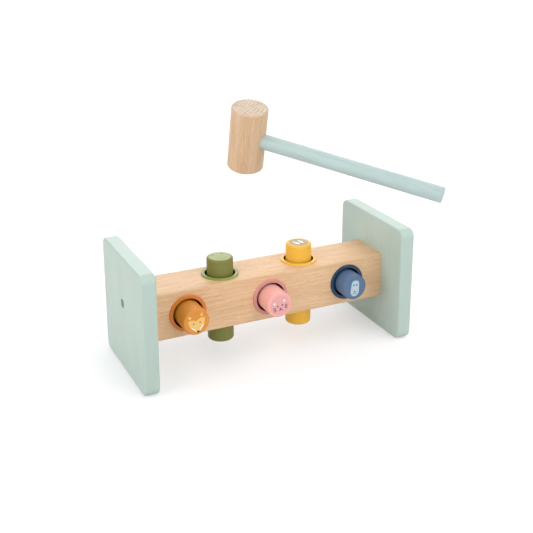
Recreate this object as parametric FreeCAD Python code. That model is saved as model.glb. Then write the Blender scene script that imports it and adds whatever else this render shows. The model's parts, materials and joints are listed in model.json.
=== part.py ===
import FreeCAD, Part
import math
import os

# Toddler's pounding bench: a beech beam between two painted end panels, five pegs that are
# hammered through it, and a loose mallet. Millimetres. X runs along the beam, -Y is the front,
# Z is up, and the origin is on the floor below the middle of the beam.

# ---- driving dimensions ----
BEAM_LENGTH = 216.0
BEAM_SIDE = 40.0
BEAM_EDGE_ROUND = 1.6

PANEL_THICKNESS = 12.5
PANEL_SIDE = 100.0
PANEL_CORNER_RADIUS = 7.0
PANEL_EDGE_ROUND = 1.6

PEG_RADIUS = 11.0
PEG_LENGTH = 72.5
PEG_EDGE_ROUND = 1.6
PEG_SPACING = 36.5

# Peg colours from left to right, and how far each peg's middle stands from the beam's middle at
# rest: along Y for the lying pegs (minus is forwards), along Z for the standing ones.
LYING_PEGS = {"orange": (-2, -3.0), "pink": (0, -2.0), "blue": (2, 1.6)}
STANDING_PEGS = {"green": (-1, -1.2), "yellow": (1, -0.9)}

HOLE_RADIUS = 11.8
COLLAR_FIT = 0.05
COLLAR_FLANGE_RADIUS = 15.7
COLLAR_FLANGE_THICKNESS = 1.2
COLLAR_OUTER_ROUND = 0.9
COLLAR_MOUTH_ROUND = 0.6
COLLAR_BARREL_RADIUS = 13.8
COLLAR_BARREL_LENGTH = 10.0
COLLAR_MOUTH_RADIUS = 12.5
COLLAR_MOUTH_DEPTH = 6.0
PEG_RUNNING_FIT = 0.06

SCREW_RISE = 9.5
SCREW_HEAD_RADIUS = 3.6
SCREW_HEAD_LENGTH = 3.5
SCREW_RECESS_RADIUS = 4.0
SCREW_RECESS_DEPTH = 6.5
SCREW_SHANK_RADIUS = 2.0
SCREW_TIP_RADIUS = 0.6
SCREW_TIP_LENGTH = 2.5
SCREW_DEPTH_IN_BEAM = 18.0
SCREW_HEAD_CHAMFER = 0.3
SCREW_PILOT_PAST_TIP = 1.0
SCREW_SOCKET_ACROSS_FLATS = 3.0
SCREW_SOCKET_DEPTH = 2.2

DOWEL_RADIUS = 3.0
DOWEL_OFFSET = 11.5
DOWEL_DROP = 8.0
DOWEL_DEPTH_IN_PANEL = 8.0
DOWEL_DEPTH_IN_BEAM = 13.0
DOWEL_CHAMFER = 0.6

JOINERY_GAP = 0.03

HAMMER_HEAD_RADIUS = 15.4
HAMMER_HEAD_LENGTH = 56.0
HAMMER_HEAD_ROUND = 1.5
HAMMER_HANDLE_RADIUS = 6.5
HAMMER_REACH = 169.0
HAMMER_HANDLE_ROUND = 1.0
HAMMER_BORE_PAST_AXIS = 8.0

# The mallet hangs ready above the bench, its head over the middle.
HAMMER_HEAD_CENTRE = (1.8, 27.5, 175.6)
HAMMER_YAW_DEG = -47.9
HAMMER_DROOP_DEG = 10.5
HAMMER_ROLL_DEG = 12.1

# ---- worked out from the above, and working allowances ----
BEAM_CENTRE_HEIGHT = PANEL_SIDE / 2
BEAM_HALF = BEAM_SIDE / 2
BEAM_END = BEAM_LENGTH / 2
COLLAR_LIP_RADIUS = PEG_RADIUS + PEG_RUNNING_FIT
CUT_MARGIN = 5.0
TINY = 1e-6

X_AXIS = FreeCAD.Vector(1, 0, 0)
Y_AXIS = FreeCAD.Vector(0, 1, 0)
Z_AXIS = FreeCAD.Vector(0, 0, 1)
BEAM_CENTRE = FreeCAD.Vector(0, 0, BEAM_CENTRE_HEIGHT)


def cylinder(radius, length, start, direction):
    """Cylinder from the point start, length along direction."""
    return Part.makeCylinder(radius, length, start, direction)


def profile_of_revolution(points, start, direction):
    """Solid turned about its axis from (radius, height) points in order."""
    corners = [FreeCAD.Vector(radius, 0, height) for radius, height in points]
    face = Part.Face(Part.makePolygon(corners + corners[:1]))
    solid = face.revolve(FreeCAD.Vector(0, 0, 0), Z_AXIS, 360)
    solid.Placement = FreeCAD.Placement(start, FreeCAD.Rotation(Z_AXIS, direction))
    return solid


def round_circles(solid, radius, wanted):
    """Round the circular edges that wanted(edge) picks."""
    edges = [edge for edge in solid.Edges if edge.Curve.TypeId == "Part::GeomCircle" and wanted(edge)]
    return solid.makeFillet(radius, edges)


def hole_centres():
    """Centre point and direction of each of the five holes, by peg colour."""
    holes = {}
    for colour, (step, _) in LYING_PEGS.items():
        holes[colour] = (BEAM_CENTRE + X_AXIS * (step * PEG_SPACING), Y_AXIS)
    for colour, (step, _) in STANDING_PEGS.items():
        holes[colour] = (BEAM_CENTRE + X_AXIS * (step * PEG_SPACING), Z_AXIS)
    return holes


def rounded_beam_blank():
    blank = Part.makeBox(BEAM_LENGTH, BEAM_SIDE, BEAM_SIDE,
                         FreeCAD.Vector(-BEAM_END, -BEAM_HALF, BEAM_CENTRE_HEIGHT - BEAM_HALF))
    long_edges = [edge for edge in blank.Edges if edge.BoundBox.XLength > BEAM_SIDE]
    return blank.makeFillet(BEAM_EDGE_ROUND, long_edges)


def beam():
    """Square beam with five through holes, a counterbore at each mouth, and its end holes."""
    solid = rounded_beam_blank()
    counterbore_radius = COLLAR_BARREL_RADIUS + COLLAR_FIT
    for centre, axis in hole_centres().values():
        start = centre - axis * (BEAM_HALF + CUT_MARGIN)
        solid = solid.cut(cylinder(HOLE_RADIUS, BEAM_SIDE + 2 * CUT_MARGIN, start, axis))
        for side in (-1, 1):
            mouth = centre + axis * (side * (BEAM_HALF - COLLAR_BARREL_LENGTH))
            depth = COLLAR_BARREL_LENGTH + CUT_MARGIN
            solid = solid.cut(cylinder(counterbore_radius, depth, mouth, axis * side))
    for side in (-1, 1):
        outward = X_AXIS * side
        pilot_depth = SCREW_DEPTH_IN_BEAM + SCREW_PILOT_PAST_TIP
        solid = solid.cut(cylinder(SCREW_SHANK_RADIUS + JOINERY_GAP, pilot_depth + CUT_MARGIN,
                                   screw_centre(side) - outward * pilot_depth, outward))
        for centre in dowel_centres(side):
            bottom = centre - outward * (DOWEL_DEPTH_IN_BEAM + JOINERY_GAP)
            solid = solid.cut(cylinder(DOWEL_RADIUS + JOINERY_GAP, DOWEL_DEPTH_IN_BEAM + CUT_MARGIN,
                                       bottom, outward))
    return solid


def screw_centre(side):
    """Point on the joint between beam and panel where the screw crosses it, above the middle."""
    return BEAM_CENTRE + X_AXIS * (side * BEAM_END) + Z_AXIS * SCREW_RISE


def dowel_centres(side):
    """Points on the same joint where the two dowels cross it, below the screw."""
    low = BEAM_CENTRE + X_AXIS * (side * BEAM_END) - Z_AXIS * DOWEL_DROP
    return [low + Y_AXIS * offset for offset in (-DOWEL_OFFSET, DOWEL_OFFSET)]


def end_panel(side):
    """Square board with rounded corners, a screw recess and two blind dowel holes."""
    inner_x = side * BEAM_END
    low_x = min(inner_x, inner_x + side * PANEL_THICKNESS)
    blank = Part.makeBox(PANEL_THICKNESS, PANEL_SIDE, PANEL_SIDE,
                         FreeCAD.Vector(low_x, -PANEL_SIDE / 2, 0))
    corners = [edge for edge in blank.Edges if edge.BoundBox.XLength > PANEL_THICKNESS / 2]
    board = blank.makeFillet(PANEL_CORNER_RADIUS, corners)
    rims = [edge for edge in board.Edges if edge.BoundBox.XLength < PANEL_THICKNESS / 2]
    board = board.makeFillet(PANEL_EDGE_ROUND, rims)

    outward = X_AXIS * side
    screw = screw_centre(side)
    shoulder = screw + outward * (PANEL_THICKNESS - SCREW_RECESS_DEPTH)
    board = board.cut(cylinder(SCREW_SHANK_RADIUS + JOINERY_GAP, PANEL_THICKNESS + CUT_MARGIN,
                               screw - outward * CUT_MARGIN, outward))
    board = board.cut(cylinder(SCREW_RECESS_RADIUS, SCREW_RECESS_DEPTH + CUT_MARGIN, shoulder, outward))
    for centre in dowel_centres(side):
        board = board.cut(cylinder(DOWEL_RADIUS + JOINERY_GAP,
                                   DOWEL_DEPTH_IN_PANEL + JOINERY_GAP + CUT_MARGIN,
                                   centre - outward * CUT_MARGIN, outward))
    return board


def panel_screw(side):
    """Socket-head screw from the bottom of the panel's recess into the beam's end grain."""
    outward = X_AXIS * side
    tip = screw_centre(side) - outward * SCREW_DEPTH_IN_BEAM
    shoulder_height = SCREW_DEPTH_IN_BEAM + PANEL_THICKNESS - SCREW_RECESS_DEPTH
    top_height = shoulder_height + SCREW_HEAD_LENGTH
    profile = [(0, 0), (SCREW_TIP_RADIUS, 0), (SCREW_SHANK_RADIUS, SCREW_TIP_LENGTH),
               (SCREW_SHANK_RADIUS, shoulder_height), (SCREW_HEAD_RADIUS, shoulder_height),
               (SCREW_HEAD_RADIUS, top_height - SCREW_HEAD_CHAMFER),
               (SCREW_HEAD_RADIUS - SCREW_HEAD_CHAMFER, top_height),
               (0, top_height)]
    screw = profile_of_revolution(profile, tip, outward)
    corner_radius = SCREW_SOCKET_ACROSS_FLATS / math.sqrt(3)
    corners = []
    for index in range(6):
        angle = math.radians(60 * index)
        corners.append(FreeCAD.Vector(0, math.cos(angle), math.sin(angle)) * corner_radius)
    hexagon = Part.Face(Part.makePolygon(corners + corners[:1]))
    socket = hexagon.extrude(outward * (SCREW_SOCKET_DEPTH + CUT_MARGIN))
    socket.translate(tip + outward * (top_height - SCREW_SOCKET_DEPTH))
    return screw.cut(socket)


def panel_dowels(side):
    """The pair of dowels at one end, as one group of two solids."""
    length = DOWEL_DEPTH_IN_PANEL + DOWEL_DEPTH_IN_BEAM
    slim = DOWEL_RADIUS - DOWEL_CHAMFER
    profile = [(0, 0), (slim, 0), (DOWEL_RADIUS, DOWEL_CHAMFER), (DOWEL_RADIUS, length - DOWEL_CHAMFER),
               (slim, length), (0, length)]
    outward = X_AXIS * side
    dowels = []
    for centre in dowel_centres(side):
        dowels.append(profile_of_revolution(profile, centre - outward * DOWEL_DEPTH_IN_BEAM, outward))
    return Part.makeCompound(dowels)


def peg(centre, axis, offset):
    """Plain round peg with softened ends, its middle offset along the hole."""
    start = centre + axis * (offset - PEG_LENGTH / 2)
    solid = cylinder(PEG_RADIUS, PEG_LENGTH, start, axis)
    return round_circles(solid, PEG_EDGE_ROUND, lambda edge: True)


def collar(centre, outward):
    """Flanged ring in one hole mouth: wide at the mouth, with a lip inside that grips the peg."""
    taper = COLLAR_MOUTH_RADIUS - COLLAR_LIP_RADIUS
    profile = [(COLLAR_LIP_RADIUS, -COLLAR_BARREL_LENGTH), (COLLAR_BARREL_RADIUS, -COLLAR_BARREL_LENGTH),
               (COLLAR_BARREL_RADIUS, 0), (COLLAR_FLANGE_RADIUS, 0),
               (COLLAR_FLANGE_RADIUS, COLLAR_FLANGE_THICKNESS),
               (COLLAR_MOUTH_RADIUS, COLLAR_FLANGE_THICKNESS),
               (COLLAR_MOUTH_RADIUS, -COLLAR_MOUTH_DEPTH),
               (COLLAR_LIP_RADIUS, -COLLAR_MOUTH_DEPTH - taper)]
    ring = profile_of_revolution(profile, FreeCAD.Vector(0, 0, 0), Z_AXIS)

    def rim_of(radius):
        def matches(edge):
            at_top = abs(edge.Curve.Center.z - COLLAR_FLANGE_THICKNESS) < TINY
            return at_top and abs(edge.Curve.Radius - radius) < TINY
        return matches

    ring = round_circles(ring, COLLAR_OUTER_ROUND, rim_of(COLLAR_FLANGE_RADIUS))
    ring = round_circles(ring, COLLAR_MOUTH_ROUND, rim_of(COLLAR_MOUTH_RADIUS))
    mouth = centre + outward * BEAM_HALF
    ring.Placement = FreeCAD.Placement(mouth, FreeCAD.Rotation(Z_AXIS, outward))
    return ring


def hammer_placement():
    """From the mallet's own axes (X along the handle, Z along the head) to the bench's."""
    yaw = FreeCAD.Rotation(Z_AXIS, HAMMER_YAW_DEG)
    droop = FreeCAD.Rotation(Y_AXIS, HAMMER_DROOP_DEG)
    roll = FreeCAD.Rotation(X_AXIS, HAMMER_ROLL_DEG)
    return FreeCAD.Placement(FreeCAD.Vector(*HAMMER_HEAD_CENTRE), yaw.multiply(droop).multiply(roll))


def hammer_head():
    """Short cylinder with softened ends and a blind bore for the handle."""
    head = cylinder(HAMMER_HEAD_RADIUS, HAMMER_HEAD_LENGTH, Z_AXIS * (-HAMMER_HEAD_LENGTH / 2), Z_AXIS)
    head = round_circles(head, HAMMER_HEAD_ROUND, lambda edge: True)
    bore = cylinder(HAMMER_HANDLE_RADIUS + JOINERY_GAP, HAMMER_REACH,
                    X_AXIS * (-HAMMER_BORE_PAST_AXIS), X_AXIS)
    head = head.cut(bore)
    head.Placement = hammer_placement()
    return head


def hammer_handle():
    """Round rod glued into the head, softened at its free end."""
    start = -HAMMER_BORE_PAST_AXIS + JOINERY_GAP
    rod = cylinder(HAMMER_HANDLE_RADIUS, HAMMER_REACH - start, X_AXIS * start, X_AXIS)
    rod = round_circles(rod, HAMMER_HANDLE_ROUND, lambda edge: edge.Curve.Center.x > 0)
    rod.Placement = hammer_placement()
    return rod


def all_parts():
    parts = {"beam": beam(), "hammer_head": hammer_head(), "hammer_handle": hammer_handle()}
    for name, side in (("left", -1), ("right", 1)):
        parts[name + "_end_panel"] = end_panel(side)
        parts[name + "_panel_screw"] = panel_screw(side)
        parts[name + "_panel_dowels"] = panel_dowels(side)
    holes = hole_centres()
    mouths = {colour: ("back", "front") for colour in LYING_PEGS}
    mouths.update({colour: ("top", "bottom") for colour in STANDING_PEGS})
    offsets = {**LYING_PEGS, **STANDING_PEGS}
    for colour, (centre, axis) in holes.items():
        parts[colour + "_peg"] = peg(centre, axis, offsets[colour][1])
        for mouth, side in zip(mouths[colour], (1, -1)):
            parts["{}_{}_collar".format(colour, mouth)] = collar(centre, axis * side)
    return parts


def main():
    os.makedirs("parts", exist_ok=True)
    for name, shape in all_parts().items():
        shape.exportStep(os.path.join("parts", name + ".step"))
        solids = len(shape.Solids)
        print("{:22s} solids {} valid {} mm3 {:9.1f}".format(name, solids, shape.isValid(), shape.Volume))


main()
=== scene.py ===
import json
import math

import bmesh
import bpy
from mathutils import Matrix, Vector


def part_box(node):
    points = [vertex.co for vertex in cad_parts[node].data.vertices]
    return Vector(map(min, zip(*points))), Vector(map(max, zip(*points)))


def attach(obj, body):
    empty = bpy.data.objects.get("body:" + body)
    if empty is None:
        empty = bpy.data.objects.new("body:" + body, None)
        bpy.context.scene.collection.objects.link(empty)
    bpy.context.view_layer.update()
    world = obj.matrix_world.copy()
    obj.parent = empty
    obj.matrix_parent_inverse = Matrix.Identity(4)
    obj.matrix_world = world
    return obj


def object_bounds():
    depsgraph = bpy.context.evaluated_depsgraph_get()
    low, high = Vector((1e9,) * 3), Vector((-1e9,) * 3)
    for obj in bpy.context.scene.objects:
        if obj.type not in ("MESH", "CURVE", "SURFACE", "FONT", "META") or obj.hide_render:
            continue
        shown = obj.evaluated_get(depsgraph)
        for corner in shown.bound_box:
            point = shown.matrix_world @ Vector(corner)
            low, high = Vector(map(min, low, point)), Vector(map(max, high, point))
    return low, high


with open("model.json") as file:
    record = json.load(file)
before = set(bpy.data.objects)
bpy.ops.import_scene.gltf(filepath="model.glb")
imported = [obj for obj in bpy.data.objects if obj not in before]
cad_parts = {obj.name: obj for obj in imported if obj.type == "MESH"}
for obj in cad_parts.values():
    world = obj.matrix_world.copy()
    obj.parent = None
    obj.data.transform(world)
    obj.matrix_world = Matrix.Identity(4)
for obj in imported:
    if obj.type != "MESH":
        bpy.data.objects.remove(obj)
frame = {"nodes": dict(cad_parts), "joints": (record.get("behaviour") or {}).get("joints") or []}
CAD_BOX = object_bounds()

# Toddler's pounding bench: beech beam between mint end panels, five painted pegs in plastic
# collars, and a loose mallet. Metres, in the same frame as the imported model.

MM = 0.001
MM_PER_METRE = 1000.0

# ---- camera ----
CAMERA_AZIMUTH_DEG = -25.607
CAMERA_ELEVATION_DEG = 17.148
CAMERA_DISTANCE = 0.77312
CAMERA_AIM = Vector((0.00619, 0.0, 0.14394))
CAMERA_LENS_MM = 63.526
CAMERA_SENSOR_MM = 36.0
CAMERA_SHIFT_Y = -0.16
CAMERA_CLIP = (0.01, 50.0)

# ---- studio ----
FLOOR_SIDE = 14.0
FLOOR_COLOUR = (0.70, 0.70, 0.70, 1.0)
FLOOR_ROUGHNESS = 0.9
GLOW_COLOUR = (0.97, 1.0, 1.04, 1.0)
GLOW_STRENGTH = 0.33
WHITE = (1.0, 1.0, 1.0, 1.0)
AMBIENT_STRENGTH = 0.21
BACKDROP_STRENGTH = 1.0
LIGHT_SPREAD_DEG = 60.0
NEUTRAL = (1.0, 1.0, 1.0)
WARM = (1.06, 1.0, 0.985)
# Broad soft lights far away. name: (direction they come from, strength, colour)
SOFT_LIGHTS = {
    "overhead": ((0.0, 0.0, 1.0), 0.30, NEUTRAL),
    "front_right_high": ((0.7, -0.7, 1.0), 1.16, NEUTRAL),
    "front_low": ((0.1, -1.0, 0.25), 0.98, NEUTRAL),
    "left_low": ((-1.0, -0.2, 0.25), 1.46, WARM),
    "left_high": ((-1.0, 0.0, 0.9), 0.57, WARM),
    "right_high": ((1.0, 0.0, 0.9), 0.19, NEUTRAL),
    "back_high": ((0.0, 1.0, 0.9), 0.35, NEUTRAL),
    "back_low": ((0.4, 0.85, 0.38), 1.58, NEUTRAL),
}

# ---- colours as seen, sRGB 0-255 ----
BEECH_LIGHT = (244, 211, 173)
BEECH_MID = (230, 191, 149)
BEECH_DARK = (206, 161, 116)
BEECH_LINE = (176, 132, 92)
HEAD_TINT = (0.88, 0.93, 1.0)
END_GRAIN_LIGHT = (234, 212, 188)
END_GRAIN_DARK = (184, 154, 124)
MINT = (181, 201, 192)
HANDLE_MINT = (178, 200, 198)
PEG_PAINT = {
    "orange": (220, 142, 50),
    "green": (122, 124, 57),
    "pink": (244, 178, 168),
    "yellow": (238, 184, 62),
    "blue": (82, 109, 145),
}
COLLAR_PLASTIC = {
    "orange": (214, 126, 38),
    "green": (144, 154, 74),
    "pink": (216, 145, 140),
    "yellow": (246, 190, 62),
    "blue": (24, 58, 88),
}
ZINC_DARK = (0.28, 0.28, 0.27, 1.0)
ZINC_LIGHT = (0.46, 0.46, 0.45, 1.0)
# painted shade: near-black colour inside a collar's mouth, where the deep gap round the peg is unlit; its
# radius is in mm from the hole's axis
PAINTED_MOUTH_SHADE = (0.012, 0.008, 0.006, 1.0)
MOUTH_RADIUS = 12.5
MOUTH_EDGE = (0.1, 0.35)
PRINT_INK = {
    "gold": (240, 196, 112),
    "white": (244, 243, 240),
    "black": (28, 24, 24),
    "brown": (150, 104, 52),
    "mauve": (234, 169, 169),
    "plum": (88, 44, 58),
    "ice": (176, 205, 218),
    "slate": (72, 96, 120),
    "blush": (236, 178, 168),
    "taupe": (176, 158, 124),
    "leaf": (164, 175, 116),
    "moss": (122, 138, 84),
}

# ---- surface finish: roughness from and to, and how much plain surfaces reflect ----
BEECH_ROUGHNESS = (0.60, 0.46)
END_GRAIN_EXTRA_ROUGHNESS = 0.12
MINT_ROUGHNESS = 0.46
PEG_ROUGHNESS = 0.52
PLASTIC_ROUGHNESS = (0.32, 0.44)
ZINC_ROUGHNESS = (0.28, 0.45)
INK_ROUGHNESS = (0.46, 0.58)
SPECULAR = 0.5
INK_SPECULAR = 0.4

# ---- how strongly each mark shades beech, along the grain and on its ends ----
RING_SHADE = 0.26
VESSEL_SHADE = 0.30
FLECK_SHADE = 0.30
END_RING_SHADE = 0.85
END_PORE_SHADE = 0.28

# ---- textures: how often they repeat per mm, along the grain and across it both ways ----
GRAIN_DRIFT_RATE = (0.011, 0.016, 0.016)
GRAIN_DRIFT_MM = (0.0, 9.0, 9.0)
RING_WARP_RATE = (0.0, 0.09, 0.09)
BAND_RATE = (0.005, 0.12, 0.12)
STREAK_RATE = (0.030, 0.62, 0.62)
FIBRE_RATE = (0.075, 2.1, 2.1)
VESSEL_RATE = (0.30, 2.6, 2.6)
FLECK_RATE = (0.10, 0.95, 0.95)
FLECK_START = (37.0, 11.0, 5.0)
PORE_RATE = (0.3, 2.2, 2.2)
RAYS_PER_RADIAN = 60.0
RAY_RATE = 0.12
PAINT_TONE_RATE = (0.02, 0.05, 0.05)
PAINT_FIBRE_RATE = (0.05, 1.4, 1.4)
PAINT_STREAK_RATE = (0.022, 0.5, 0.5)
PAINT_STREAK_START = (19.0, 7.0, 3.0)
SPRAY_RATE = 1.1
SPRAY_FINE_RATE = 4.5
PLASTIC_FLOW_RATE = 0.12
PLASTIC_TEXTURE_RATE = 5.0
ZINC_CLOUD_RATE = 0.8
ZINC_TURNING_RATE = 38.0
INK_COVER_RATE = 2.2
# most of a noise's values lie between these
NOISE_LOW = 0.3
NOISE_HIGH = 0.7
# leaves out what lies along X
ACROSS_X = (0.0, 1.0, 1.0)

LYING = ("orange", "pink", "blue")
STANDING = ("green", "yellow")
COLOURS = LYING + STANDING


def srgb(colour):
    """Linear RGBA from an sRGB colour given 0-255."""
    linear = []
    for channel in colour:
        value = channel / 255
        linear.append(value / 12.92 if value <= 0.04045 else ((value + 0.055) / 1.055) ** 2.4)
    return (*linear, 1.0)


def scaled(colour, share, lift=0.0):
    """Linear RGBA darkened or lightened, its alpha left at one."""
    return tuple(min(1.0, channel * share + lift) for channel in colour[:3]) + (1.0,)


# ================= camera and studio =================

def make_camera():
    azimuth = math.radians(CAMERA_AZIMUTH_DEG)
    elevation = math.radians(CAMERA_ELEVATION_DEG)
    back = Vector((math.sin(azimuth) * math.cos(elevation), -math.cos(azimuth) * math.cos(elevation),
                   math.sin(elevation)))
    data = bpy.data.cameras.new("camera")
    data.lens = CAMERA_LENS_MM
    data.sensor_width = CAMERA_SENSOR_MM
    data.shift_y = CAMERA_SHIFT_Y
    data.clip_start, data.clip_end = CAMERA_CLIP
    camera = bpy.data.objects.new("camera", data)
    camera.location = CAMERA_AIM + back * CAMERA_DISTANCE
    camera.rotation_euler = (-back).to_track_quat("-Z", "Y").to_euler()
    bpy.context.scene.collection.objects.link(camera)
    bpy.context.scene.camera = camera


def shown_as(tree, ray, lighting, shown):
    """Shader that is shown to one kind of ray, and is lighting for all others."""
    path = tree.nodes.new("ShaderNodeLightPath")
    choice = tree.nodes.new("ShaderNodeMixShader")
    tree.links.new(path.outputs[ray], choice.inputs["Fac"])
    tree.links.new(lighting, choice.inputs[1])
    tree.links.new(shown, choice.inputs[2])
    return choice.outputs["Shader"]


def make_floor():
    """Matt pale floor. A little glow that lights nothing else keeps its shadows faint."""
    mesh = bpy.data.meshes.new("floor")
    half = FLOOR_SIDE / 2
    mesh.from_pydata([(-half, -half, 0), (half, -half, 0), (half, half, 0), (-half, half, 0)], [],
                     [(0, 1, 2, 3)])
    floor = bpy.data.objects.new("floor", mesh)
    floor.location.z = CAD_BOX[0][2]
    bpy.context.scene.collection.objects.link(floor)
    graph = Graph("studio_floor")
    graph.set("Base Color", FLOOR_COLOUR)
    graph.set("Roughness", FLOOR_ROUGHNESS)
    graph.set("Specular IOR Level", 0.0)
    tree = graph.tree
    glow = tree.nodes.new("ShaderNodeEmission")
    glow.inputs["Color"].default_value = GLOW_COLOUR
    glow.inputs["Strength"].default_value = GLOW_STRENGTH
    lit = tree.nodes.new("ShaderNodeAddShader")
    tree.links.new(graph.shader.outputs["BSDF"], lit.inputs[0])
    tree.links.new(glow.outputs["Emission"], lit.inputs[1])
    surface = shown_as(tree, "Is Diffuse Ray", lit.outputs["Shader"], graph.shader.outputs["BSDF"])
    tree.links.new(surface, tree.nodes["Material Output"].inputs["Surface"])
    floor.data.materials.append(graph.material)


def make_world():
    """Even ambient light, with a plain white backdrop where no floor is seen."""
    world = bpy.data.worlds.new("studio")
    world.use_nodes = True
    tree = world.node_tree
    ambient = tree.nodes["Background"]
    ambient.inputs["Color"].default_value = WHITE
    ambient.inputs["Strength"].default_value = AMBIENT_STRENGTH
    backdrop = tree.nodes.new("ShaderNodeBackground")
    backdrop.inputs["Color"].default_value = WHITE
    backdrop.inputs["Strength"].default_value = BACKDROP_STRENGTH
    surface = shown_as(tree, "Is Camera Ray", ambient.outputs["Background"],
                       backdrop.outputs["Background"])
    tree.links.new(surface, tree.nodes["World Output"].inputs["Surface"])
    bpy.context.scene.world = world


def make_lights():
    for name, (source, strength, colour) in SOFT_LIGHTS.items():
        data = bpy.data.lights.new(name, "SUN")
        data.energy = strength
        data.color = colour
        data.angle = math.radians(LIGHT_SPREAD_DEG)
        light = bpy.data.objects.new(name, data)
        light.rotation_euler = (-Vector(source)).to_track_quat("-Z", "Y").to_euler()
        bpy.context.scene.collection.objects.link(light)
    view = bpy.context.scene.view_settings
    view.view_transform = "Standard"
    view.look = "None"
    view.exposure = 0
    view.gamma = 1


# ================= material graphs =================

# the Mix node's sockets for colours
MIX_FIRST_COLOUR = 6
MIX_SECOND_COLOUR = 7
MIX_COLOUR_RESULT = 2


class Graph:
    """One material with a Principled shader, and short calls that add nodes to it."""

    def __init__(self, name):
        self.material = bpy.data.materials.new(name)
        self.material.use_nodes = True
        self.tree = self.material.node_tree
        self.shader = self.tree.nodes["Principled BSDF"]

    def set(self, socket, value):
        self.shader.inputs[socket].default_value = value

    def to_shader(self, socket, output):
        self.tree.links.new(output, self.shader.inputs[socket])

    def feed(self, socket, value):
        if isinstance(value, bpy.types.NodeSocket):
            self.tree.links.new(value, socket)
        else:
            socket.default_value = value

    def add(self, kind, settings=None, **inputs):
        node = self.tree.nodes.new(kind)
        for name, value in (settings or {}).items():
            setattr(node, name, value)
        for name, value in inputs.items():
            self.feed(node.inputs[name], value)
        return node

    def math(self, operation, first, second=0.0, third=0.0):
        node = self.tree.nodes.new("ShaderNodeMath")
        node.operation = operation
        for socket, value in zip(node.inputs, (first, second, third)):
            self.feed(socket, value)
        return node.outputs[0]

    def vector(self, operation, first, second=None, scale=None):
        node = self.tree.nodes.new("ShaderNodeVectorMath")
        node.operation = operation
        self.feed(node.inputs[0], first)
        if second is not None:
            self.feed(node.inputs[1], second)
        if scale is not None:
            node.inputs["Scale"].default_value = scale
        return node.outputs["Value" if operation == "LENGTH" else "Vector"]

    def noise(self, place, scale, detail=2.0, roughness=0.5, distortion=0.0):
        node = self.add("ShaderNodeTexNoise", {"noise_dimensions": "3D"}, Vector=place, Scale=scale,
                        Detail=detail, Roughness=roughness, Distortion=distortion)
        return node.outputs["Fac"]

    def remap(self, value, low, high, to_low, to_high, smooth=False):
        """value between low and high becomes to_low to to_high, and stays there beyond them."""
        kind = "SMOOTHSTEP" if smooth else "LINEAR"
        node = self.tree.nodes.new("ShaderNodeMapRange")
        node.interpolation_type = kind
        node.clamp = True
        for socket, number in zip(node.inputs, (value, low, high, to_low, to_high)):
            self.feed(socket, number)
        return node.outputs["Result"]

    def mix(self, factor, first, second, blend="MIX"):
        node = self.tree.nodes.new("ShaderNodeMix")
        node.data_type = "RGBA"
        node.blend_type = blend
        node.clamp_factor = True
        self.feed(node.inputs["Factor"], factor)
        self.feed(node.inputs[MIX_FIRST_COLOUR], first)
        self.feed(node.inputs[MIX_SECOND_COLOUR], second)
        return node.outputs[MIX_COLOUR_RESULT]

    def bump(self, layers):
        """Chain of bumps from (height output, strength, depth in mm)."""
        normal = None
        for height, strength, depth in layers:
            node = self.tree.nodes.new("ShaderNodeBump")
            node.inputs["Strength"].default_value = strength
            node.inputs["Distance"].default_value = depth * MM
            self.tree.links.new(height, node.inputs["Height"])
            if normal is not None:
                self.tree.links.new(normal, node.inputs["Normal"])
            normal = node.outputs["Normal"]
        self.to_shader("Normal", normal)

    def grain_space(self, origin, turn):
        """Millimetres from origin with X along the grain, and how squarely a face cuts it."""
        source = self.tree.nodes.new("ShaderNodeTexCoord")
        moved = self.vector("SUBTRACT", source.outputs["Object"], origin)
        turned = self.turned_back(moved, turn)
        facing = self.turned_back(source.outputs["Normal"], turn)
        along = self.add("ShaderNodeSeparateXYZ", Vector=facing).outputs["X"]
        return self.vector("SCALE", turned, scale=MM_PER_METRE), self.math("ABSOLUTE", along)

    def millimetres_from(self, point):
        """Millimetres from a point of the rest pose, carried along with the body."""
        source = self.tree.nodes.new("ShaderNodeTexCoord")
        moved = self.vector("SUBTRACT", source.outputs["Object"], point)
        return self.vector("SCALE", moved, scale=MM_PER_METRE)

    def turned_back(self, vector, turn):
        """The vector in axes that the Euler angles turn puts in place."""
        node = self.add("ShaderNodeVectorRotate", {"rotation_type": "EULER_XYZ", "invert": True},
                        Vector=vector, Rotation=turn)
        return node.outputs["Vector"]


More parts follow.
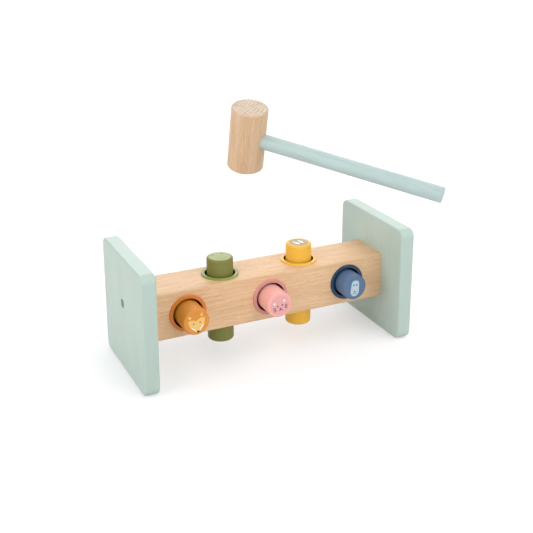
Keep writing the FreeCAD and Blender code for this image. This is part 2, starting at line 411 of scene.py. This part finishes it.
def beech(name, origin, turn, pith, ring_width, tint=None):
    """Solid beech: growth rings round a pith beside the piece, fibres, pores and ray flecks.

    origin and turn put X along the grain; pith is the (Y, Z) of the tree's centre in mm."""
    graph = Graph(name)
    straight, end_on = graph.grain_space(origin, turn)
    end_face = graph.remap(end_on, 0.75, 0.95, 0.0, 1.0, smooth=True)

    # the grain drifts sideways a little along the board
    drift_place = graph.vector("MULTIPLY", straight, GRAIN_DRIFT_RATE)
    drift = graph.add("ShaderNodeTexNoise", {"noise_dimensions": "3D"}, Vector=drift_place, Scale=1.0,
                      Detail=1.0).outputs["Color"]
    shift = graph.vector("MULTIPLY", graph.vector("SUBTRACT", drift, (0.5, 0.5, 0.5)), GRAIN_DRIFT_MM)
    place = graph.vector("ADD", straight, shift)

    # rings: distance from the pith, of uneven width
    flat = graph.vector("MULTIPLY", place, ACROSS_X)
    from_pith = graph.vector("SUBTRACT", flat, (0.0, pith[0], pith[1]))
    radius = graph.vector("LENGTH", from_pith)
    uneven = graph.noise(graph.vector("MULTIPLY", place, RING_WARP_RATE), 1.0, detail=1.0)
    counted = graph.math("MULTIPLY_ADD", uneven, 1.5, graph.math("DIVIDE", radius, ring_width))
    phase = graph.math("FRACT", counted)
    late_wood = graph.math("POWER", phase, 2.2)
    ring_end = graph.remap(phase, 0.9, 1.0, 1.0, 0.0, smooth=True)
    rings = graph.math("MULTIPLY", late_wood, ring_end)

    # streaks from broad bands down to single fibres
    bands = graph.noise(graph.vector("MULTIPLY", place, BAND_RATE), 1.0, detail=3.0)
    streaks = graph.noise(graph.vector("MULTIPLY", place, STREAK_RATE), 1.0, detail=3.0, roughness=0.6)
    fibres = graph.noise(graph.vector("MULTIPLY", place, FIBRE_RATE), 1.0, detail=3.0, roughness=0.6)
    # vessels and ray flecks: short dark dashes
    dash_place = graph.vector("MULTIPLY", place, VESSEL_RATE)
    dashes = graph.remap(graph.noise(dash_place, 1.0, detail=1.0), 0.58, 0.72, 0.0, 1.0, smooth=True)
    fleck_place = graph.vector("ADD", graph.vector("MULTIPLY", place, FLECK_RATE), FLECK_START)
    flecks = graph.remap(graph.noise(fleck_place, 1.0, detail=1.5), 0.58, 0.74, 0.0, 1.0, smooth=True)

    # long-grain colour
    tone = graph.math("MULTIPLY_ADD", streaks, 0.42, graph.math("MULTIPLY", bands, 0.30))
    tone = graph.math("MULTIPLY_ADD", fibres, 0.28, tone)
    tone = graph.remap(tone, 0.37, 0.63, 0.0, 1.0)
    colour = graph.mix(tone, srgb(BEECH_DARK), srgb(BEECH_LIGHT))
    colour = graph.mix(0.42, colour, srgb(BEECH_MID))
    colour = graph.mix(graph.math("MULTIPLY", rings, RING_SHADE), colour, srgb(BEECH_DARK))
    colour = graph.mix(graph.math("MULTIPLY", dashes, VESSEL_SHADE), colour, srgb(BEECH_LINE))
    colour = graph.mix(graph.math("MULTIPLY", flecks, FLECK_SHADE), colour, srgb(BEECH_LINE))

    # end-grain colour: paler and greyer, rings plainer, fine rays from the pith
    parts = graph.add("ShaderNodeSeparateXYZ", Vector=from_pith)
    angle = graph.math("ARCTAN2", parts.outputs["Z"], parts.outputs["Y"])
    ray_place = graph.add("ShaderNodeCombineXYZ", X=graph.math("MULTIPLY", angle, RAYS_PER_RADIAN),
                          Y=graph.math("MULTIPLY", radius, RAY_RATE)).outputs["Vector"]
    rays = graph.noise(ray_place, 1.0, detail=2.0)
    pore_place = graph.vector("MULTIPLY", place, PORE_RATE)
    pores = graph.remap(graph.noise(pore_place, 1.0, detail=1.0), 0.54, 0.68, 0.0, 1.0, smooth=True)
    end_tone = graph.math("MULTIPLY_ADD", rays, 0.7, graph.math("MULTIPLY", bands, 0.3))
    end_colour = graph.mix(graph.remap(end_tone, 0.25, 0.55, 0.0, 1.0), srgb(END_GRAIN_DARK),
                           srgb(END_GRAIN_LIGHT))
    end_colour = graph.mix(graph.math("MULTIPLY", rings, END_RING_SHADE), end_colour, srgb(END_GRAIN_DARK))
    end_colour = graph.mix(graph.math("MULTIPLY", pores, END_PORE_SHADE), end_colour, srgb(BEECH_LINE))

    final = graph.mix(end_face, colour, end_colour)
    if tint:
        final = graph.mix(1.0, final, (*tint, 1.0), blend="MULTIPLY")
    graph.to_shader("Base Color", final)
    rough = graph.remap(fibres, NOISE_LOW, NOISE_HIGH, *BEECH_ROUGHNESS)
    rough = graph.math("ADD", rough, graph.math("MULTIPLY", end_face, END_GRAIN_EXTRA_ROUGHNESS))
    graph.to_shader("Roughness", rough)
    graph.set("Specular IOR Level", SPECULAR)
    graph.bump([(fibres, 0.4, 0.06), (dashes, 0.3, 0.04)])
    return graph.material


def painted_beech(name, colour, origin, turn, roughness, thinnest=0.93):
    """Sprayed paint on beech: the grain just shows through, with a fine spray texture.

    thinnest is how dark the paint is over the deepest grain, as a share of its colour."""
    graph = Graph(name)
    place, _ = graph.grain_space(origin, turn)
    tone = graph.noise(graph.vector("MULTIPLY", place, PAINT_TONE_RATE), 1.0, detail=3.0)
    fibre_place = graph.vector("MULTIPLY", place, PAINT_FIBRE_RATE)
    fibres = graph.noise(fibre_place, 1.0, detail=3.0, roughness=0.6)
    streak_place = graph.vector("MULTIPLY", place, PAINT_STREAK_RATE)
    streaks = graph.noise(graph.vector("ADD", streak_place, PAINT_STREAK_START), 1.0, detail=2.0)
    spray = graph.noise(place, SPRAY_RATE, detail=2.0)
    fine = graph.noise(place, SPRAY_FINE_RATE, detail=2.0)

    base = srgb(colour)
    deep = scaled(base, thinnest)
    pale = scaled(base, 1.05, 0.004)
    mixed = graph.mix(graph.remap(tone, NOISE_LOW, NOISE_HIGH, 0.0, 1.0), deep, pale)
    mixed = graph.mix(0.5, mixed, base)
    thin = graph.remap(fibres, 0.56, 0.74, 0.0, 0.55, smooth=True)
    mixed = graph.mix(thin, mixed, deep)
    mixed = graph.mix(graph.remap(streaks, 0.54, 0.68, 0.0, 0.5, smooth=True), mixed, deep)
    full = graph.remap(fibres, 0.28, 0.44, 0.55, 0.0, smooth=True)
    mixed = graph.mix(full, mixed, pale)
    graph.to_shader("Base Color", mixed)
    graph.to_shader("Roughness", graph.remap(spray, NOISE_LOW, NOISE_HIGH, roughness - 0.05,
                                             roughness + 0.06))
    graph.set("Specular IOR Level", SPECULAR)
    graph.bump([(fibres, 0.25, 0.08), (spray, 0.22, 0.06), (fine, 0.12, 0.02)])
    return graph.material


def moulded_plastic(name, colour, axis_point, axis):
    """Injection-moulded plastic with a fine matt texture, and painted shade: its mouth round the axis
    coloured near-black where the gap is unlit.
    """
    graph = Graph(name)
    place = graph.millimetres_from(axis_point)
    flow = graph.noise(place, PLASTIC_FLOW_RATE, detail=3.0, distortion=0.6)
    texture = graph.noise(place, PLASTIC_TEXTURE_RATE, detail=2.0)
    base = srgb(colour)
    mixed = graph.mix(graph.remap(flow, 0.35, 0.7, 0.0, 0.8), base, scaled(base, 0.9))
    across = tuple(1.0 - abs(part) for part in axis)
    radius = graph.vector("LENGTH", graph.vector("MULTIPLY", place, across))
    shade_starts, shade_ends = (MOUTH_RADIUS + margin for margin in MOUTH_EDGE)
    # painted shade: near-black within the mouth's radius of the axis, standing in for the unlit gap round
    # the peg
    inside = graph.remap(radius, shade_starts, shade_ends, 1.0, 0.0, smooth=True)
    graph.to_shader("Base Color", graph.mix(inside, mixed, PAINTED_MOUTH_SHADE))
    graph.to_shader("Roughness", graph.remap(flow, NOISE_LOW, NOISE_HIGH, *PLASTIC_ROUGHNESS))
    graph.set("Specular IOR Level", SPECULAR)
    graph.bump([(texture, 0.1, 0.02)])
    return graph.material


def zinc_steel(name, axis_centre):
    """Zinc-plated steel with turning marks round the screw's axis."""
    graph = Graph(name)
    place = graph.millimetres_from(axis_centre)
    from_axis = graph.vector("LENGTH", graph.vector("MULTIPLY", place, ACROSS_X))
    turned = graph.math("SINE", graph.math("MULTIPLY", from_axis, ZINC_TURNING_RATE))
    cloud = graph.noise(place, ZINC_CLOUD_RATE, detail=3.0)
    graph.to_shader("Base Color", graph.mix(cloud, ZINC_DARK, ZINC_LIGHT))
    graph.set("Metallic", 1.0)
    graph.to_shader("Roughness", graph.remap(cloud, NOISE_LOW, NOISE_HIGH, *ZINC_ROUGHNESS))
    graph.bump([(turned, 0.15, 0.01)])
    return graph.material


def printed_ink(name, colour):
    """Pad-printed ink: flat and matt, with slightly uneven cover."""
    graph = Graph(name)
    place = graph.millimetres_from((0.0, 0.0, 0.0))
    cover = graph.noise(place, INK_COVER_RATE, detail=3.0, roughness=0.6)
    base = srgb(colour)
    thin = scaled(base, 0.86, 0.012)
    graph.to_shader("Base Color", graph.mix(graph.remap(cover, 0.45, 0.75, 0.0, 0.6), base, thin))
    graph.to_shader("Roughness", graph.remap(cover, NOISE_LOW, NOISE_HIGH, *INK_ROUGHNESS))
    graph.set("Specular IOR Level", INK_SPECULAR)
    graph.bump([(cover, 0.1, 0.02)])
    return graph.material


def dress(node, material):
    """Give a CAD node its finished material."""
    slots = frame["nodes"][node].data.materials
    if not slots:
        slots.append(material)
    for index in range(len(slots)):
        slots[index] = material


# ================= places taken from the frame =================

def middle(node):
    low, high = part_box(node)
    return (low + high) / 2


def hammer_axes():
    """The mallet's own axes as a matrix: X along the handle, Y along the swing joint's axis."""
    joint = next(j for j in frame["joints"] if j["name"] == "hammer_swing")
    handle = (Vector(joint["pos_m"]) - middle("hammer_head")).normalized()
    swing = Vector(joint["axis"]).normalized()
    head = handle.cross(swing)
    return Matrix((handle, swing, head)).transposed()


# Euler angles that put the grain along an axis
GRAIN_ALONG_X = (0.0, 0.0, 0.0)
GRAIN_ALONG_Y = (0.0, 0.0, math.pi / 2)
GRAIN_ALONG_Z = (0.0, -math.pi / 2, 0.0)

# where the tree's centre lay beside each piece, and how wide its rings are, in mm
BEAM_PITH = (-34.0, -52.0)
BEAM_RING_WIDTH = 3.1
DOWEL_PITH = (9.0, 4.0)
DOWEL_RING_WIDTH = 2.0
HEAD_PITH = (8.0, 75.0)
HEAD_RING_WIDTH = 2.7

ROD_GRAIN_LEAN_DEG = 5.0
ROD_THINNEST_PAINT = 0.84


# ================= dressing the CAD nodes =================

def dress_bench():
    dress("beam", beech("beech_beam", middle("beam"), GRAIN_ALONG_X, BEAM_PITH, BEAM_RING_WIDTH))
    for side in ("left", "right"):
        panel = side + "_end_panel"
        dress(panel, painted_beech("mint_" + side, MINT, middle(panel), GRAIN_ALONG_Z, MINT_ROUGHNESS))
        dress(side + "_panel_dowels", beech("dowel_beech_" + side, middle(panel), GRAIN_ALONG_X,
                                            DOWEL_PITH, DOWEL_RING_WIDTH))
        dress(side + "_panel_screw", zinc_steel("zinc_" + side, middle(side + "_panel_screw")))


def dress_pegs():
    for colour in COLOURS:
        turn = GRAIN_ALONG_Y if colour in LYING else GRAIN_ALONG_Z
        peg = colour + "_peg"
        dress(peg, painted_beech(colour + "_paint", PEG_PAINT[colour], middle(peg), turn,
                                 PEG_ROUGHNESS))
        along = Vector((0, 1, 0)) if colour in LYING else Vector((0, 0, 1))
        plastic = moulded_plastic(colour + "_plastic", COLLAR_PLASTIC[colour], middle(peg), along)
        for mouth in ("front", "back") if colour in LYING else ("top", "bottom"):
            dress("{}_{}_collar".format(colour, mouth), plastic)


def dress_hammer():
    axes = hammer_axes()
    along_head = axes @ Matrix.Rotation(-math.pi / 2, 3, "Y")
    centre = middle("hammer_head")
    dress("hammer_head", beech("beech_hammer_head", centre, along_head.to_euler(), HEAD_PITH,
                               HEAD_RING_WIDTH, tint=HEAD_TINT))
    # the rod's grain runs out a few degrees off its axis
    along_rod = axes @ Matrix.Rotation(math.radians(ROD_GRAIN_LEAN_DEG), 3, "Y")
    dress("hammer_handle", painted_beech("mint_handle", HANDLE_MINT, centre, along_rod.to_euler(),
                                         MINT_ROUGHNESS, thinnest=ROD_THINNEST_PAINT))


# ================= printed faces on the pegs' ends =================

# in mm: the rounding of an ink's edge, how far it sinks into the peg, and its thickness
INK_EDGE = 0.05
INK_DEPTH = 0.03
INK_LAYER = 0.05
CORNER_CUT = 0.22


class PegEnd:
    """The printed end of a peg: the front of a lying peg, the top of a standing one.

    Outlines on it are lists of (across, up) points in mm from its middle."""

    def __init__(self, colour, turn_deg):
        low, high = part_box(colour + "_peg")
        centre = (low + high) / 2
        self.colour = colour
        if colour in LYING:
            self.centre = Vector((centre.x, low.y, centre.z))
            across, up, self.out = Vector((1, 0, 0)), Vector((0, 0, 1)), Vector((0, -1, 0))
        else:
            self.centre = Vector((centre.x, centre.y, high.z))
            across, up, self.out = Vector((1, 0, 0)), Vector((0, 1, 0)), Vector((0, 0, 1))
        turn = math.radians(turn_deg)
        self.across = across * math.cos(turn) + up * math.sin(turn)
        self.up = up * math.cos(turn) - across * math.sin(turn)

    def point(self, u, v, height):
        return self.centre + (self.across * u + self.up * v + self.out * height) * MM

    def ink(self, name, ink_name, layer, *outlines):
        """Flat islands of one ink, each with a slightly rounded edge, as one piece."""
        shape = bmesh.new()
        top = INK_LAYER * layer
        for outline in outlines:
            middle_u = sum(u for u, v in outline) / len(outline)
            middle_v = sum(v for u, v in outline) / len(outline)
            reach = max(math.hypot(u - middle_u, v - middle_v) for u, v in outline)
            shrink = 1 - INK_EDGE / reach
            inner = [(middle_u + (u - middle_u) * shrink, middle_v + (v - middle_v) * shrink)
                     for u, v in outline]
            levels = ((outline, -INK_DEPTH), (outline, top - INK_EDGE / 2), (inner, top))
            rows = [[shape.verts.new(self.point(u, v, height)) for u, v in ring]
                    for ring, height in levels]
            for lower, upper in zip(rows, rows[1:]):
                for index in range(len(lower)):
                    after = (index + 1) % len(lower)
                    shape.faces.new((lower[index], lower[after], upper[after], upper[index]))
            shape.faces.new(list(reversed(rows[0])))
            shape.faces.new(rows[-1])
        bmesh.ops.recalc_face_normals(shape, faces=shape.faces)
        mesh = bpy.data.meshes.new(name)
        shape.to_mesh(mesh)
        shape.free()
        mesh.materials.append(INKS[ink_name])
        piece = bpy.data.objects.new(name, mesh)
        bpy.context.scene.collection.objects.link(piece)
        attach(piece, self.colour + "_peg")


def oval(u, v, half_width, half_height, lean_deg=0.0, count=40):
    """Outline of an ellipse, anticlockwise."""
    lean = math.radians(lean_deg)
    outline = []
    for index in range(count):
        angle = 2 * math.pi * index / count
        x, y = half_width * math.cos(angle), half_height * math.sin(angle)
        outline.append((u + x * math.cos(lean) - y * math.sin(lean),
                        v + x * math.sin(lean) + y * math.cos(lean)))
    return outline


def softened(corners, rounds=3):
    """Outline with each corner cut off, and the new corners again, rounds times."""
    outline = corners
    for _ in range(rounds):
        cut = []
        for index, (u, v) in enumerate(outline):
            next_u, next_v = outline[(index + 1) % len(outline)]
            for share in (CORNER_CUT, 1 - CORNER_CUT):
                cut.append((u * (1 - share) + next_u * share, v * (1 - share) + next_v * share))
        outline = cut
    return outline


def mirrored(outline):
    return [(-u, v) for u, v in reversed(outline)]


def stroke(u, v, length, width, lean_deg):
    """A short bar with round ends."""
    return oval(u, v, length / 2, width / 2, lean_deg, count=20)


def print_fox():
    end = PegEnd("orange", 8.0)
    mask = softened([(0.0, 1.0), (-3.4, 3.2), (-7.4, 2.6), (-6.2, -2.6), (-3.2, -6.2), (0.0, -8.6),
                     (3.2, -6.2), (6.2, -2.6), (7.4, 2.6), (3.4, 3.2)])
    ear = softened([(-6.4, 4.0), (-3.2, 4.6), (-5.6, 7.6)], rounds=2)
    cheek = softened([(-6.3, -2.2), (-3.4, -4.2), (-0.4, -8.3), (-3.3, -6.2)], rounds=2)
    end.ink("orange_print_mask", "gold", 1, mask, ear, mirrored(ear))
    end.ink("orange_print_cheeks", "white", 2, cheek, mirrored(cheek))
    end.ink("orange_print_eyes", "brown", 2, oval(-2.7, -0.6, 0.62, 0.72), oval(2.7, -0.6, 0.62, 0.72))
    end.ink("orange_print_nose", "black", 3, oval(0.0, -8.0, 1.05, 0.85))


def print_cat():
    end = PegEnd("pink", 10.0)
    end.ink("pink_print_disc", "mauve", 1, oval(0.0, -0.5, 8.6, 8.4, count=64))
    end.ink("pink_print_ears", "white", 2, oval(-4.6, 2.4, 0.9, 1.0), oval(4.4, 2.6, 0.95, 1.05))
    nose = softened([(-1.2, -2.8), (0.0, -4.4), (1.2, -2.8)], rounds=2)
    end.ink("pink_print_marks", "plum", 2, oval(-2.1, -0.7, 0.65, 0.7), oval(2.1, -0.7, 0.65, 0.7), nose,
            stroke(-0.9, -4.7, 2.1, 0.65, 38.0), stroke(0.9, -4.7, 2.1, 0.65, -38.0),
            stroke(-5.2, -1.6, 2.6, 0.7, -14.0), stroke(-5.3, -2.9, 2.7, 0.7, 4.0),
            stroke(-5.0, -4.2, 2.5, 0.7, 22.0), stroke(5.2, -1.6, 2.6, 0.7, 14.0),
            stroke(5.3, -2.9, 2.7, 0.7, -4.0), stroke(5.0, -4.2, 2.5, 0.7, -22.0))


def print_seal():
    end = PegEnd("blue", -4.0)
    head = softened([(-3.5, 5.2), (-3.9, 0.2), (-4.2, -4.4), (-2.1, -7.6), (2.1, -7.6), (4.2, -4.4),
                     (3.9, 0.2), (3.5, 5.2), (1.4, 6.5), (-1.4, 6.5)])
    end.ink("blue_print_head", "ice", 1, head)
    end.ink("blue_print_cheeks", "blush", 2, oval(-2.6, -1.6, 0.85, 0.85), oval(2.6, -1.6, 0.85, 0.85))
    end.ink("blue_print_marks", "slate", 2, oval(-1.4, 2.5, 0.6, 1.0), oval(1.4, 2.5, 0.6, 1.0),
            oval(0.0, -3.6, 1.0, 0.6), stroke(-1.0, -5.2, 2.0, 0.5, -20.0),
            stroke(1.0, -5.2, 2.0, 0.5, 20.0))


def print_bear():
    end = PegEnd("yellow", 14.0)
    end.ink("yellow_print_disc", "taupe", 1, oval(0.0, 0.0, 8.3, 8.3, count=64))
    cheek = softened([(-3.9, 3.4), (-4.2, -1.0), (-2.2, -4.2), (-0.7, -3.4), (-1.2, 1.4), (-2.3, 4.0)])
    end.ink("yellow_print_cheeks", "white", 2, cheek, mirrored(cheek))
    end.ink("yellow_print_marks", "slate", 3, oval(0.0, -4.2, 1.1, 0.8), oval(-2.5, 1.5, 0.45, 0.55),
            oval(2.5, 1.5, 0.45, 0.55))


def print_frog():
    end = PegEnd("green", 6.0)
    end.ink("green_print_disc", "leaf", 1, oval(0.0, 0.0, 9.1, 9.1, count=64))
    end.ink("green_print_marks", "moss", 2, oval(-4.4, 4.6, 1.2, 1.0), oval(4.4, 4.6, 1.2, 1.0),
            oval(-1.0, 0.2, 0.4, 0.3), oval(1.0, 0.2, 0.4, 0.3), stroke(0.0, -4.4, 6.4, 0.5, 0.0),
            stroke(-4.2, -3.6, 2.4, 0.5, -38.0), stroke(4.2, -3.6, 2.4, 0.5, 38.0))


INKS = {name: printed_ink("ink_" + name, colour) for name, colour in PRINT_INK.items()}

make_camera()
make_floor()
make_world()
make_lights()
dress_bench()
dress_pegs()
dress_hammer()
print_fox()
print_cat()
print_seal()
print_bear()
print_frog()
